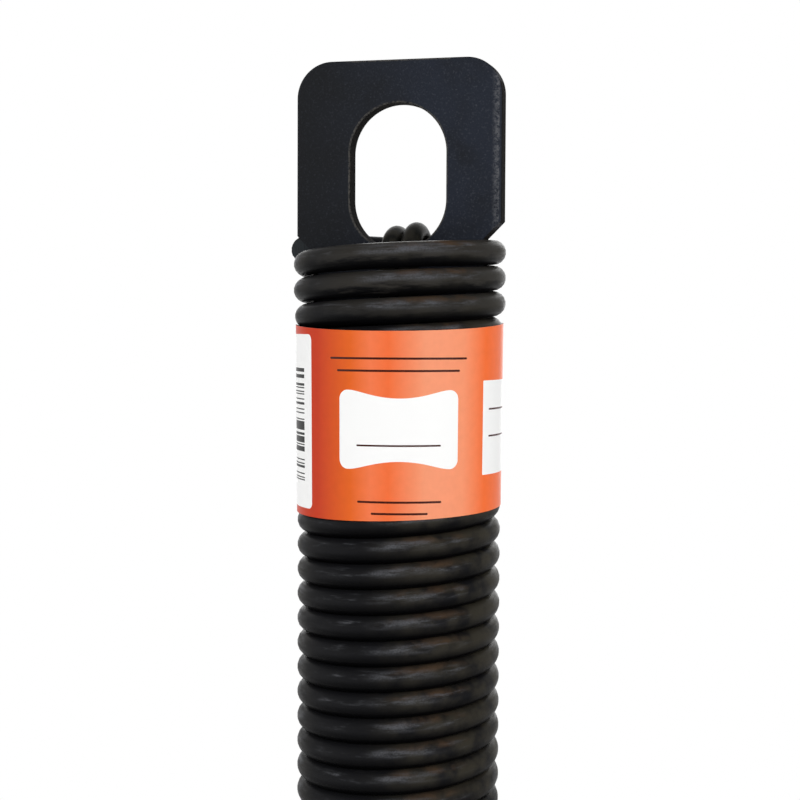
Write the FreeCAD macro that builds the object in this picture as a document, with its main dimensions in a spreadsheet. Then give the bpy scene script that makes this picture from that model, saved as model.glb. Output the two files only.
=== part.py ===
import FreeCAD, Part
import math
import os

import Sketcher

# Plug-end extension spring for a one-piece garage door, in millimetres.
# The axis of the coil is Z and the middle of the spring is the origin.
# Both plug plates lie in the XZ plane, with their slots opening along Y.

V = FreeCAD.Vector
UP = V(0, 0, 1)

SIZES = (
    # Coil: round wire, close wound to the right, opened a little where the plugs are screwed in
    ("wire_d", 7.19),
    ("main_radius", 26),
    ("main_pitch", 7.215),
    ("main_turns", 62.5),
    ("opening_turns", 8),
    ("taper_turns", 1.5),
    ("seat_radius", 27.2),
    ("seat_pitch", 7.458),
    ("seat_turns", 2),
    ("arcs_per_turn", 4),
    # Sprung tail at each cut end of the wire
    ("tail_angle", 130),
    ("tail_length", 22),
    ("tail_drop", 1.2),
    # Plug plate: a slotted head outside the coil and a grooved tongue screwed into it
    ("plate_width", 61.1),
    ("plate_thick", 6.35),
    ("plate_rise", 55.5),
    ("plate_corner", 10.5),
    ("slot_width", 28.6),
    ("slot_length", 42),
    ("slot_rise", 1),
    ("tongue_width", 51),
    ("tongue_tip", 0.5),
    ("tongue_corner", 3),
    ("groove_gap", 0.35),
    ("edge_round", 0.8),
    # Safety wire: a hairpin hooked over the lower edge of the upper slot
    ("safety_d", 5.8),
    ("strand_gap", 0.1),
    ("strand_shift", 2.2),
    ("hook_bend", 9.3),
    ("hook_sink", 5.25),
    ("hook_tail", 28),
    ("hairpin_radius", 10),
    ("hairpin_stop", 25),
    # Paper label wrapped round the turns below the plug, with its top over the first widening turn
    ("label_drop", 22.4),
    ("label_height", 54.5),
    ("label_thick", 0.25),
    ("label_gap", 0.06),
    ("label_flare", 0.03),
    ("label_skew", 2),
)

doc = FreeCAD.newDocument("extension_spring")
sheet = doc.addObject("Spreadsheet::Sheet", "sheet")
for row, (alias, value) in enumerate(SIZES, start=1):
    sheet.set(f"A{row}", alias)
    sheet.set(f"B{row}", str(value))
    sheet.setAlias(f"B{row}", alias)
doc.recompute()


def size(alias):
    """The value of one driving dimension."""
    return float(sheet.get(alias))


# Heights along the coil, counted in turns from its middle
MAIN_HALF = size("main_turns") / 2
OPENING_END = MAIN_HALF + size("opening_turns")
SEAT = OPENING_END + size("seat_turns")
COIL_END = SEAT + size("tail_angle") / 360
FIRST_ANGLE = -2 * math.pi * SEAT


def coil_radius(turn):
    """Radius of the wire's centre line at a turn: it widens just before the plug."""
    share = 1 - (OPENING_END - abs(turn)) / size("taper_turns")
    share = min(max(share, 0), 1)
    return size("main_radius") + share * (size("seat_radius") - size("main_radius"))


def coil_height(turn):
    """Height of the wire's centre line at a turn: the pitch opens evenly towards the plug."""
    main = min(abs(turn), MAIN_HALF)
    opening = min(max(abs(turn) - MAIN_HALF, 0), size("opening_turns"))
    seat = max(abs(turn) - OPENING_END, 0)
    growth = (size("seat_pitch") - size("main_pitch")) / size("opening_turns")
    height = (main + opening) * size("main_pitch") + growth * opening**2 / 2 + seat * size("seat_pitch")
    return math.copysign(height, turn)


def coil_point(turn):
    """A point on the wire's centre line. The upper seat crosses the plate at +X."""
    angle = 2 * math.pi * turn + FIRST_ANGLE
    radius = coil_radius(turn)
    return V(radius * math.cos(angle), radius * math.sin(angle), coil_height(turn))


SEAT_HEIGHT = coil_height(SEAT)
TONGUE_DEPTH = size("seat_turns") * size("seat_pitch") + size("tongue_tip")
# Half a turn about this axis carries the spring's upper end onto its lower end
TURN_OVER = FreeCAD.Rotation(V(math.cos(FIRST_ANGLE), math.sin(FIRST_ANGLE), 0), 180)


def tail_arc():
    """Three points of the arc that the upper end of the wire springs out along."""
    angle = 2 * math.pi * COIL_END + FIRST_ANGLE
    forward = V(-math.sin(angle), math.cos(angle), 0)
    climb = size("seat_pitch") / (2 * math.pi * size("seat_radius"))
    tangent = (forward + UP * climb).normalize()
    start = coil_point(COIL_END)
    end = start + forward * size("tail_length") - UP * size("tail_drop")
    chord = end - start
    half = chord.Length / 2
    along = V(chord).normalize()
    bulge = (tangent - along * tangent.dot(along)).normalize()
    middle = start + along * half + bulge * half * math.tan(tangent.getAngle(along) / 2)
    return start, middle, end


def arc(a, b, c):
    """An edge through three points."""
    return Part.Arc(a, b, c).toShape()


def line(a, b):
    """A straight edge between two points."""
    return Part.LineSegment(a, b).toShape()


def sweep_wire(name, edges, diameter):
    """A solid round wire: a circle swept along a path of arcs and straight runs."""
    path = Part.Wire(edges)
    first = path.OrderedEdges[0]
    begin = first.FirstParameter
    section = Part.makeCircle(diameter / 2, first.valueAt(begin), first.tangentAt(begin))
    wire = doc.addObject("Part::Feature", name)
    wire.Label = name
    wire.Shape = path.makePipeShell([Part.Wire(section)], True, True)
    return wire


def make_coil():
    """The spring itself: one wire, with a sprung tail at each end."""
    count = round(2 * COIL_END * size("arcs_per_turn"))
    step = 2 * COIL_END / count
    starts = [-COIL_END + i * step for i in range(count)]
    turns = [arc(coil_point(a), coil_point(a + step / 2), coil_point(a + step)) for a in starts]
    upper = tail_arc()
    lower = [TURN_OVER.multVec(point) for point in reversed(upper)]
    return sweep_wire("extension_coil", [arc(*lower), *turns, arc(*upper)], size("wire_d"))


def make_safety_wire():
    """A hairpin whose two ends hook over the lower edge of the upper slot, straddling the plate."""
    bend = size("hook_bend")
    spread = (size("safety_d") + size("strand_gap")) / 2
    shift = size("strand_shift")
    slot_radius = size("slot_width") / 2
    tongue_end = TONGUE_DEPTH - SEAT_HEIGHT
    foot = tongue_end + size("hairpin_stop") + size("safety_d") / 2 + size("hairpin_radius")

    def hook(side):
        """One hooked end, from its tail to the top of its long leg."""
        x = shift + side * spread
        slot_edge = SEAT_HEIGHT + size("slot_rise") + slot_radius - math.sqrt(slot_radius**2 - x**2)
        centre = slot_edge - size("hook_sink")
        front = V(x, -bend, centre)
        back = V(x, bend, centre)
        tail = front - UP * size("hook_tail")
        return tail, front, V(x, 0, centre + bend), back

    left_tail, left_front, left_top, left_back = hook(-1)
    right_tail, right_front, right_top, right_back = hook(1)
    left_foot = V(shift - size("hairpin_radius"), bend, foot)
    right_foot = V(shift + size("hairpin_radius"), bend, foot)
    edges = [
        line(left_tail, left_front),
        arc(left_front, left_top, left_back),
        line(left_back, left_foot),
        arc(left_foot, V(shift, bend, foot - size("hairpin_radius")), right_foot),
        line(right_foot, right_back),
        arc(right_back, right_top, right_front),
        line(right_front, right_tail),
    ]
    return sweep_wire("safety_wire", edges, size("safety_d"))


def origin_item(body, role):
    """One of a body's own origin planes or axes."""
    return next(item for item in body.Origin.OriginFeatures if item.Role == role)


def add_sketch(body, name):
    """An empty sketch in a body's XZ plane, so that its own Y is the height."""
    sketch = body.newObject("Sketcher::SketchObject", name)
    sketch.AttachmentSupport = (origin_item(body, "XZ_Plane"), [""])
    sketch.MapMode = "FlatFace"
    return sketch


def bind(sketch, expression, kind, *where):
    """Adds one dimension to a sketch, driven by an expression."""
    index = sketch.addConstraint(Sketcher.Constraint(kind, *where, 1.0))
    sketch.setExpression(f"Constraints[{index}]", expression)


def bind_point(sketch, geometry, end, x, z):
    """Ties one point of a sketch to two expressions."""
    bind(sketch, x, "DistanceX", -1, 1, geometry, end)
    bind(sketch, z, "DistanceY", -1, 1, geometry, end)


def polygon(body, name, corners):
    """A closed outline of straight lines, each corner a pair of expressions."""
    sketch = add_sketch(body, name)
    count = len(corners)
    angles = [2 * math.pi * i / count for i in range(count)]
    spots = [V(math.cos(angle), math.sin(angle), 0) for angle in angles]
    for i in range(count):
        sketch.addGeometry(Part.LineSegment(spots[i], spots[(i + 1) % count]))
    for i in range(count):
        sketch.addConstraint(Sketcher.Constraint("Coincident", i, 2, (i + 1) % count, 1))
    for i, (x, z) in enumerate(corners):
        bind_point(sketch, i, 1, x, z)
    return sketch


def circles(body, name, rings):
    """A sketch of circles, each one three expressions: the two of its centre, and its radius."""
    sketch = add_sketch(body, name)
    for x, z, radius in rings:
        circle = sketch.addGeometry(Part.Circle(V(), V(0, 0, 1), 1))
        bind_point(sketch, circle, 3, x, z)
        bind(sketch, radius, "Radius", circle)
    return sketch


def notches(body, name, rounds, mouth):
    """A sketch of round-bottomed notches, each open to its side: that side, 1 or -1, its centre and radius."""
    sketch = add_sketch(body, name)
    for side, x, z, radius in rounds:
        corners = [V(0, -side, 0), V(2 * side, -side, 0), V(2 * side, side, 0), V(0, side, 0)]
        first = side * math.pi / 2
        bottom = sketch.addGeometry(Part.ArcOfCircle(Part.Circle(V(), V(0, 0, 1), 1), first, first + math.pi))
        low, out, high = [sketch.addGeometry(Part.LineSegment(*corners[i : i + 2])) for i in range(3)]
        ring = [bottom, low, out, high]
        for i in range(4):
            sketch.addConstraint(Sketcher.Constraint("Coincident", ring[i], 2, ring[(i + 1) % 4], 1))
        bind_point(sketch, bottom, 3, f"{side} * ({x})", z)
        bind(sketch, radius, "Radius", bottom)
        for end in (1, 2):
            bind(sketch, f"{side} * ({x})", "DistanceX", -1, 1, bottom, end)
            turn = side * (2 * end - 3)
            bind_point(sketch, out, end, f"{side} * ({mouth})", f"{z} + {turn} * ({radius})")
    return sketch


def cut_through(body, name, sketch):
    """A pocket through the whole body, both ways from its middle plane."""
    pocket = body.newObject("PartDesign::Pocket", name)
    pocket.Profile = sketch
    pocket.Type = "ThroughAll"
    pocket.Midplane = True
    return pocket


def repeat_down(body, name, cut, length, count):
    """Repeats a cut in a row that runs down from it."""
    row = body.newObject("PartDesign::LinearPattern", name)
    row.Originals = [cut]
    row.Direction = (origin_item(body, "Z_Axis"), [""])
    row.Reversed = True
    row.setExpression("Length", length)
    row.setExpression("Occurrences", count)
    body.Tip = row
    return row


def round_edges(body, name, radius, wanted):
    """A fillet on every edge of the body's last feature that the test picks."""
    doc.recompute()
    base = body.Tip
    picked = [f"Edge{i + 1}" for i, edge in enumerate(base.Shape.Edges) if wanted(edge)]
    fillet = body.newObject("PartDesign::Fillet", name)
    fillet.Base = (base, picked)
    fillet.setExpression("Radius", radius)
    return fillet


def middle_of(edge):
    """The middle point of an edge."""
    return edge.valueAt((edge.FirstParameter + edge.LastParameter) / 2)


def crosses_plate(edge):
    """Whether an edge runs straight through the plate's thickness."""
    ends = [vertex.Point for vertex in edge.Vertexes]
    return len(ends) == 2 and abs(abs(ends[0].y - ends[1].y) - size("plate_thick")) < 1e-6


def make_plug_plate(name):
    """One plug plate, with its height counted from the seat of the coil's last turn at +X."""
    body = doc.addObject("PartDesign::Body", name)
    body.Label = name
    half = "sheet.plate_width / 2"
    neck = "sheet.tongue_width / 2"
    groove = "sheet.wire_d / 2 + sheet.groove_gap"
    right_shoulder = f"({half} - sheet.seat_radius + ({groove}) * sqrt(2))"
    left_shoulder = f"({right_shoulder} - sheet.seat_pitch / 2)"
    depth = "-(sheet.seat_turns * sheet.seat_pitch + sheet.tongue_tip)"

    outline = polygon(
        body,
        f"{name}_outline",
        (
            (half, "sheet.plate_rise"),
            (f"-{half}", "sheet.plate_rise"),
            (f"-{half}", left_shoulder),
            (f"-{neck}", f"{left_shoulder} - {half} + {neck}"),
            (f"-{neck}", depth),
            (neck, depth),
            (neck, f"{right_shoulder} - {half} + {neck}"),
            (half, right_shoulder),
        ),
    )
    blank = body.newObject("PartDesign::Pad", f"{name}_blank")
    blank.Profile = outline
    blank.Midplane = True
    blank.setExpression("Length", "sheet.plate_thick")

    # Rounded head, and a tongue tip that leads into the coil
    top = size("plate_rise") - size("plate_corner")
    round_edges(body, f"{name}_head_corners", "sheet.plate_corner",
                lambda edge: crosses_plate(edge) and middle_of(edge).z > top)
    tip = size("tongue_corner") - TONGUE_DEPTH
    round_edges(body, f"{name}_tip_corners", "sheet.tongue_corner",
                lambda edge: crosses_plate(edge) and middle_of(edge).z < tip)

    # Slot that an eye bolt or a hook passes through: a round at each end, and the room between them
    radius = "sheet.slot_width / 2"
    low = f"(sheet.slot_rise + {radius})"
    high = f"(sheet.slot_rise + sheet.slot_length - {radius})"
    slot_round = circles(body, f"{name}_slot_round", [("0", high, radius)])
    slot_end = cut_through(body, f"{name}_slot_end", slot_round)
    repeat_down(body, f"{name}_slot_ends", slot_end, f"{high} - {low}", "2")
    middle = [(radius, high), (f"-{radius}", high), (f"-{radius}", low), (radius, low)]
    cut_through(body, f"{name}_slot", polygon(body, f"{name}_slot_middle", middle))

    # Broken edges of the head and the slot
    face = size("plate_thick") / 2
    shoulder = size("plate_width") / 2 - size("seat_radius")
    shoulder += (size("wire_d") / 2 + size("groove_gap")) * math.sqrt(2)
    inside = size("plate_width") / 2 - size("edge_round")

    def is_rim(edge):
        """Whether an edge is on a face of the plate, round the head or the slot."""
        spot = middle_of(edge)
        on_face = abs(abs(spot.y) - face) < 1e-6 and abs(edge.tangentAt(edge.FirstParameter).y) < 1e-6
        in_slot = abs(spot.x) < size("slot_width") / 2 + 1e-6 and spot.z > 0
        in_head = spot.z > shoulder or abs(spot.x) > inside
        return on_face and (in_slot or in_head)

    round_edges(body, f"{name}_rims", "sheet.edge_round", is_rim)

    # Grooves that the coil's turns lie in: round at the bottom, open outwards, half a pitch lower on the left
    seats = [(1, "sheet.seat_radius", "0", groove), (-1, "sheet.seat_radius", "-sheet.seat_pitch / 2", groove)]
    outlines = notches(body, f"{name}_groove_outlines", seats, f"{half} + {groove}")
    first_pair = cut_through(body, f"{name}_groove", outlines)
    tongue_run = "sheet.seat_pitch * sheet.seat_turns"
    repeat_down(body, f"{name}_grooves", first_pair, tongue_run, "sheet.seat_turns + 1")
    return body


def make_label():
    """A sleeve of paper that narrows downwards, its lower edge not quite square."""
    body = doc.addObject("PartDesign::Body", "wrap_label")
    body.Label = "wrap_label"
    low_radius = "sheet.main_radius + sheet.wire_d / 2 + sheet.label_gap"
    # Its top clears the wire where the coil has begun to widen, on the slant that the turns take there
    widening = "(sheet.seat_radius - sheet.main_radius)"
    turns_down = "(sheet.label_drop / sheet.seat_pitch - sheet.seat_turns)"
    share = f"max(0; min(1; 1 - {turns_down} / sheet.taper_turns))"
    slope = f"({widening} / sheet.taper_turns / sheet.seat_pitch)"
    slant = f"sheet.wire_d / 2 * (sqrt(1 + {slope}^2) - 1)"
    top_radius = f"{low_radius} + {share} * {widening} + {slant} + sheet.label_flare"
    section = (
        (top_radius, "0"),
        (low_radius, "-sheet.label_height"),
        (f"{low_radius} + sheet.label_thick", "-sheet.label_height"),
        (f"{top_radius} + sheet.label_thick", "0"),
    )
    sleeve = body.newObject("PartDesign::Revolution", "wrap_label_sleeve")
    sleeve.Profile = polygon(body, "wrap_label_section", section)
    sleeve.ReferenceAxis = (origin_item(body, "Z_Axis"), [""])
    sleeve.Angle = 360
    reach = "2 * sheet.seat_radius"
    skew = polygon(
        body,
        "wrap_label_skew_outline",
        (
            (f"-{reach}", "-sheet.label_height"),
            (f"-{reach}", "-2 * sheet.label_height"),
            (reach, "-2 * sheet.label_height"),
            (reach, "-sheet.label_height + sheet.label_skew * 2"),
        ),
    )
    cut_through(body, "wrap_label_skew", skew)
    return body


upper_plate = make_plug_plate("upper_plug_plate")
upper_plate.Placement = FreeCAD.Placement(UP * SEAT_HEIGHT, FreeCAD.Rotation())
lower_plate = make_plug_plate("lower_plug_plate")
lower_plate.Placement = FreeCAD.Placement(TURN_OVER.multVec(UP * SEAT_HEIGHT), TURN_OVER)
label = make_label()
label.Placement = FreeCAD.Placement(UP * (SEAT_HEIGHT - size("label_drop")), FreeCAD.Rotation())
pieces = [make_coil(), upper_plate, lower_plate, make_safety_wire(), label]
doc.recompute()

for item in doc.Objects:
    if "Invalid" in item.State or "Error" in item.State:
        raise RuntimeError(f"{item.Label} failed: {item.State}")
os.makedirs("parts", exist_ok=True)
for piece in pieces:
    if piece.Shape.isNull() or not piece.Shape.isValid():
        raise RuntimeError(f"{piece.Label} has no valid shape")
    piece.Shape.exportStep(f"parts/{piece.Label}.step")
    box = piece.Shape.BoundBox
    print(f"{piece.Label}: {piece.Shape.Volume:.0f} mm3, {len(piece.Shape.Solids)} solid, "
          f"z {box.ZMin:.2f} to {box.ZMax:.2f}")
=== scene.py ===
"""Looks of a plug-end extension spring for a garage door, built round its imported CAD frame.

The coil and its label are modelled here again, finer than the frame's own solids, and the plug plates and
the safety wire keep their solids and get their finishes. Everything is in metres, in the frame's axes: Z is
the axis of the coil, and the plates face -Y.
"""

from __future__ import annotations

import logging
import math
from collections.abc import Iterable
from dataclasses import dataclass
from enum import Enum
from typing import Any

import bmesh
import bpy
from mathutils import Matrix, Vector

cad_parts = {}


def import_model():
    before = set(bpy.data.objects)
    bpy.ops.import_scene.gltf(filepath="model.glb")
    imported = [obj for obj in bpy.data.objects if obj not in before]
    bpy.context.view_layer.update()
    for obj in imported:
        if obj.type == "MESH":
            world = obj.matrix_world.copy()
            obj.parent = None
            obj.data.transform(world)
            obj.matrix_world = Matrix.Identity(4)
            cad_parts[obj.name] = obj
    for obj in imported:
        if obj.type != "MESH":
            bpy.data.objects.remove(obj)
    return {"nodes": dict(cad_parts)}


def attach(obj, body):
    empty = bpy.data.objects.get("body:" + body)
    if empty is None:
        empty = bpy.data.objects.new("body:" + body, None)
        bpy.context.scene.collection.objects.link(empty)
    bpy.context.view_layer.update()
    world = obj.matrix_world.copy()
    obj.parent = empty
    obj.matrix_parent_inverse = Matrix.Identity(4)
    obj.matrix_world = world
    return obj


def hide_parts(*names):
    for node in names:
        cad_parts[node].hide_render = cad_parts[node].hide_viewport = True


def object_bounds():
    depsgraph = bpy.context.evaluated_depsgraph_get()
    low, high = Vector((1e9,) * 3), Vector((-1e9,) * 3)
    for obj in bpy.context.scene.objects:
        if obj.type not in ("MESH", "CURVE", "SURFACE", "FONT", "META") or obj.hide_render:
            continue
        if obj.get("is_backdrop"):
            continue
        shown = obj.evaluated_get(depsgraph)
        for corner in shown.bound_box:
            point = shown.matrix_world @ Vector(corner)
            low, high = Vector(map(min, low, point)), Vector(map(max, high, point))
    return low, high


log = logging.getLogger("extension_spring")

MM = 0.001
FULL_TURN = 2 * math.pi
UP = Vector((0, 0, 1))
WHITE = (1, 1, 1, 1)
PICTURE_PIXELS = 800
# The side of the spring that the photograph looks at, counted from -Y towards +X
VIEW_AZIMUTH = math.radians(15)
# Directions across the view, to its right and away from it
ACROSS = Vector((math.cos(VIEW_AZIMUTH), math.sin(VIEW_AZIMUTH), 0))
AWAY = Vector((-math.sin(VIEW_AZIMUTH), math.cos(VIEW_AZIMUTH), 0))
# Vector attribute that lays the wire out straight: along it, out from the coil and up
STRAIGHT = "straight_wire"
# UV map that lays the label out flat
FLAT = "flat_label"
# Depth of the fine relief of every finish
RELIEF = 0.1 * MM

Node = bpy.types.Node
NodeTree = bpy.types.NodeTree
Socket = bpy.types.NodeSocket
# A value or an output socket for each named or numbered input of a node
Inputs = dict[str | int, Any]
# Where a soft step is empty and where it is full
Step = tuple[float, float]
# A value with where its soft step is empty and where it is full
Bound = tuple[Socket, float, float]


class Slot(Enum):
    """The record's material slots for the wire and the label."""

    WIRE = "spring_wire"
    LABEL = "label_paper"


def linear(colour: str) -> tuple[float, float, float, float]:
    """Turns an sRGB hex colour into a linear one.

    Args:
        colour: six hex digits.

    Returns:
        Red, green, blue and an alpha of 1.
    """
    parts = [int(colour[i : i + 2], 16) / 255 for i in (0, 2, 4)]
    red, green, blue = [c / 12.92 if c <= 0.04045 else ((c + 0.055) / 1.055) ** 2.4 for c in parts]
    return red, green, blue, 1.0


def fill(tree: NodeTree, node: Node, inputs: Inputs) -> None:
    """Fills or links a node's inputs.

    Args:
        tree: the node tree.
        node: the node.
        inputs: a value or an output socket for each named or numbered input.
    """
    for name, value in inputs.items():
        if isinstance(value, Socket):
            tree.links.new(value, node.inputs[name])
        else:
            node.inputs[name].default_value = value


def add_node(tree: NodeTree, kind: str, inputs: Inputs | None = None, **settings: Any) -> Node:
    """Adds a node with its settings, then fills or links its inputs.

    Args:
        tree: the node tree that gets the node.
        kind: the node's type name, without the ShaderNode that it starts with.
        inputs: a value or an output socket for each named or numbered input.
        settings: the node's own properties.

    Returns:
        The new node.
    """
    node = tree.nodes.new("ShaderNode" + kind)
    for name, value in settings.items():
        setattr(node, name, value)
    fill(tree, node, inputs or {})
    return node


def per_mm(size_mm: float) -> float:
    """The texture scale that gives a pattern a real size."""
    return 1 / (size_mm * MM)


def soft_mask(tree: NodeTree, *steps: Bound) -> Socket:
    """Multiplies soft steps into one mask.

    Args:
        tree: the node tree.
        steps: for each step its value, where it is empty and where it is full.

    Returns:
        1 where every step is full.
    """
    mask: Any = 1.0
    for value, empty, full in steps:
        step = add_node(
            tree,
            "MapRange",
            {"Value": value, "From Min": empty, "From Max": full},
            interpolation_type="SMOOTHSTEP",
        ).outputs["Result"]
        mask = add_node(tree, "Math", {0: mask, 1: step}, operation="MULTIPLY").outputs[0]
    return mask


def any_mask(tree: NodeTree, masks: Iterable[Socket]) -> Socket:
    """Joins masks into one.

    Args:
        tree: the node tree.
        masks: the masks.

    Returns:
        As full at each point as the fullest of them.
    """
    joined: Any = 0.0
    for mask in masks:
        joined = add_node(tree, "Math", {0: joined, 1: mask}, operation="MAXIMUM").outputs[0]
    return joined


def paint_over(tree: NodeTree, ground: Any, *coats: tuple[Socket, str | Socket]) -> Socket:
    """Lays coats of colour over a ground, each where its mask is full.

    Args:
        tree: the node tree.
        ground: the first colour, linear or a socket.
        coats: for each coat its mask and its colour, in hex or a socket.

    Returns:
        The colour with every coat on it.
    """
    colour = ground
    for mask, coat in coats:
        colour = add_node(
            tree,
            "Mix",
            {"Factor": mask, 6: colour, 7: linear(coat) if isinstance(coat, str) else coat},
            data_type="RGBA",
        ).outputs[2]
    return colour


def new_material(name: str) -> tuple[bpy.types.Material, NodeTree, Node]:
    """Makes an empty material with a Principled shader on its output.

    Args:
        name: the real finish that it stands for.

    Returns:
        The material, its node tree and the shader.
    """
    material = bpy.data.materials.new(name)
    material.use_nodes = True
    tree = material.node_tree
    tree.nodes.clear()
    shader = add_node(tree, "BsdfPrincipled")
    add_node(tree, "OutputMaterial", {"Surface": shader.outputs["BSDF"]})
    return material, tree, shader


def dress(piece: bpy.types.Object, *materials: bpy.types.Material) -> None:
    """Gives a piece its materials.

    Args:
        piece: the piece.
        materials: one for each of its material slots, in their order.
    """
    # Clearing resets the faces' slots, so it is for the frame's own pieces alone
    if piece.data.materials:
        piece.data.materials.clear()
    for material in materials:
        piece.data.materials.append(material)


def finish_piece(bm: bmesh.types.BMesh, name: str) -> bpy.types.Object:
    """Turns a finished bmesh into a smooth-shaded piece that rides on the spring.

    Args:
        bm: the finished mesh, which is freed.
        name: the piece's name.

    Returns:
        The new object.
    """
    mesh = bpy.data.meshes.new(name)
    bm.to_mesh(mesh)
    bm.free()
    mesh.shade_smooth()
    piece = bpy.data.objects.new(name, mesh)
    bpy.context.scene.collection.objects.link(piece)
    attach(piece, "root")
    return piece


@dataclass(frozen=True)
class HighlightSide:
    """A side of the spring that takes the painted highlight: its reach in coil radii, and which of the rub
    marks it shows.
    """

    azimuth: float
    reach: Step
    marks: Step


@dataclass(frozen=True)
class OilTemperedWire:
    """Oil-tempered spring wire: near-black oxide with painted shade on each turn's underside, a painted
    highlight band above, brown on one side.
    """

    name: str = "oil_tempered_spring_wire"
    # Ground colour of the wire: painted shade on the underside of each turn
    underside_shade: str = "050506"
    oxide: str = "151517"
    # Painted highlight: a lighter grey laid where the lamps' highlights show on the wire
    painted_highlight: str = "545559"
    bloom: str = "322f28"
    stain: str = "493a2d"
    # Wear on the top turns, lightened on their upper front side: partly painted light from above
    worn: str = "302e2b"
    grit_mm: float = 0.4
    patch_mm: float = 8.0
    streak_mm: float = 1.6
    bloom_mm: float = 6.0
    stain_mm: float = 4.5
    wire_radius: float = 3.595 * MM
    coil_radius_mm: float = 26.0
    # Bands on the wire, in wire radii up from its middle
    # Below the oxide's start the darker ground stays: painted shade on the underside of each turn
    oxide_start: Step = (-0.6, 0.15)
    # The painted highlight band
    highlight_start: Step = (-0.1, 0.5)
    highlight_end: Step = (1.05, 0.5)
    bloom_start: Step = (-0.8, 0.4)
    stain_start: Step = (0.35, 0.7)
    worn_start: Step = (-0.55, 0.05)
    # How far the ragged border of the worn turns wanders, in wire radii
    worn_ragged: float = 3.0
    # The outer half of the wire, in wire radii out from its middle
    highlight_outside: Step = (0.0, 0.8)
    # Which part of each noise shows as a patch or a spot
    bloom_patches: Step = (0.28, 0.62)
    stain_spots: Step = (0.3, 0.68)
    # Sides of the spring, with their reach in coil radii
    # Sides that take the painted highlight
    highlight_sides: tuple[HighlightSide, ...] = (
        HighlightSide(math.radians(18), (0.99, 1.15), (0.24, 0.74)),
        HighlightSide(math.radians(42), (1.03, 1.15), (0.42, 0.74)),
        HighlightSide(math.radians(-10), (0.8, 1.14), (0.46, 0.85)),
        HighlightSide(math.radians(118), (0.85, 1.15), (0.3, 0.8)),
        HighlightSide(math.radians(205), (0.85, 1.15), (0.26, 0.78)),
        HighlightSide(math.radians(285), (0.95, 1.15), (0.3, 0.8)),
    )
    open_sides: tuple[tuple[float, Step], ...] = (
        (math.radians(88), (-0.35, 0.95)),
        (math.radians(-70), (0.85, 1.4)),
    )
    stained_side: float = math.radians(33)
    stained_reach: Step = (0.97, 1.11)
    worn_side: float = math.radians(28)
    worn_reach: Step = (0.3, 1.0)
    # Height from which the turns were rubbed as they were wound on the plugs
    plug_mm: Step = (277.0, 287.0)
    # Roughness between the rub marks and on them
    dull: float = 0.46
    polished: float = 0.32
    specular: float = 0.03

    def make(self) -> bpy.types.Material:
        """Builds the finish from the wire's own straightened coordinates.

        Returns:
            The material.
        """
        material, tree, shader = new_material(self.name)
        where = add_node(tree, "Attribute", attribute_name=STRAIGHT).outputs["Vector"]
        across = add_node(tree, "SeparateXYZ", {"Vector": where}).outputs
        grit = add_node(
            tree,
            "TexNoise",
            {"Vector": where, "Scale": per_mm(self.grit_mm), "Detail": 3.0, "Roughness": 0.6},
        ).outputs["Fac"]
        # Rub marks run along the wire, so their pattern is drawn out that way
        stretch = (per_mm(self.patch_mm), per_mm(self.streak_mm), per_mm(self.streak_mm))
        drawn = add_node(tree, "Mapping", {"Vector": where, "Scale": stretch}).outputs["Vector"]
        marks = add_node(
            tree, "TexNoise", {"Vector": drawn, "Scale": 1.0, "Detail": 6.0, "Roughness": 0.6}
        ).outputs["Fac"]
        colour = paint_over(
            tree,
            # Ground colour: painted shade on the underside of each turn
            linear(self.underside_shade),
            (self.band(tree, across["Z"], self.oxide_start), self.oxide),
            (self.bloom_mask(tree, where, across["Z"]), self.bloom),
            # Wear on the top turns, partly painted light from above
            (self.wear_and_light_mask(tree, drawn, across["Z"]), self.worn),
            (self.stain_mask(tree, where, across["Z"]), self.stain),
            # Painted highlight above the wire's outermost line
            (self.painted_highlight_mask(tree, across, marks, grit), self.painted_highlight),
        )
        rough = add_node(
            tree,
            "MapRange",
            {
                "Value": marks,
                "From Min": 0.35,
                "From Max": 0.65,
                "To Min": self.dull,
                "To Max": self.polished,
            },
        ).outputs["Result"]
        bump = add_node(
            tree, "Bump", {"Height": grit, "Strength": 0.4, "Distance": RELIEF}
        ).outputs["Normal"]
        fill(tree, shader, {"Base Color": colour, "Roughness": rough, "Normal": bump})
        fill(tree, shader, {"Specular IOR Level": self.specular})
        return material

    def band(self, tree: NodeTree, height: Socket, start: Step, *more: Bound) -> Socket:
        """A soft band on the wire, from a height up.

        Args:
            tree: the node tree.
            height: how far up on the wire a point is.
            start: the step that the band starts with, in wire radii.
            more: further steps that bound it.

        Returns:
            1 where the band is full.
        """
        return soft_mask(tree, self.in_radii(height, start), *more)

    def in_radii(self, value: Socket, step: Step) -> Bound:
        """A step that is given in wire radii, for a value in metres."""
        return value, step[0] * self.wire_radius, step[1] * self.wire_radius

    def towards(self, tree: NodeTree, azimuth: float) -> Socket:
        """Measures how far out from the axis a point lies towards one side.

        Args:
            tree: the node tree.
            azimuth: the side.

        Returns:
            The distance in coil radii.
        """
        place = add_node(tree, "TexCoord").outputs["Object"]
        reach = per_mm(self.coil_radius_mm)
        way = (math.sin(azimuth) * reach, -math.cos(azimuth) * reach, 0)
        return add_node(tree, "VectorMath", {0: place, 1: way}, operation="DOT_PRODUCT").outputs["Value"]

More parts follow.
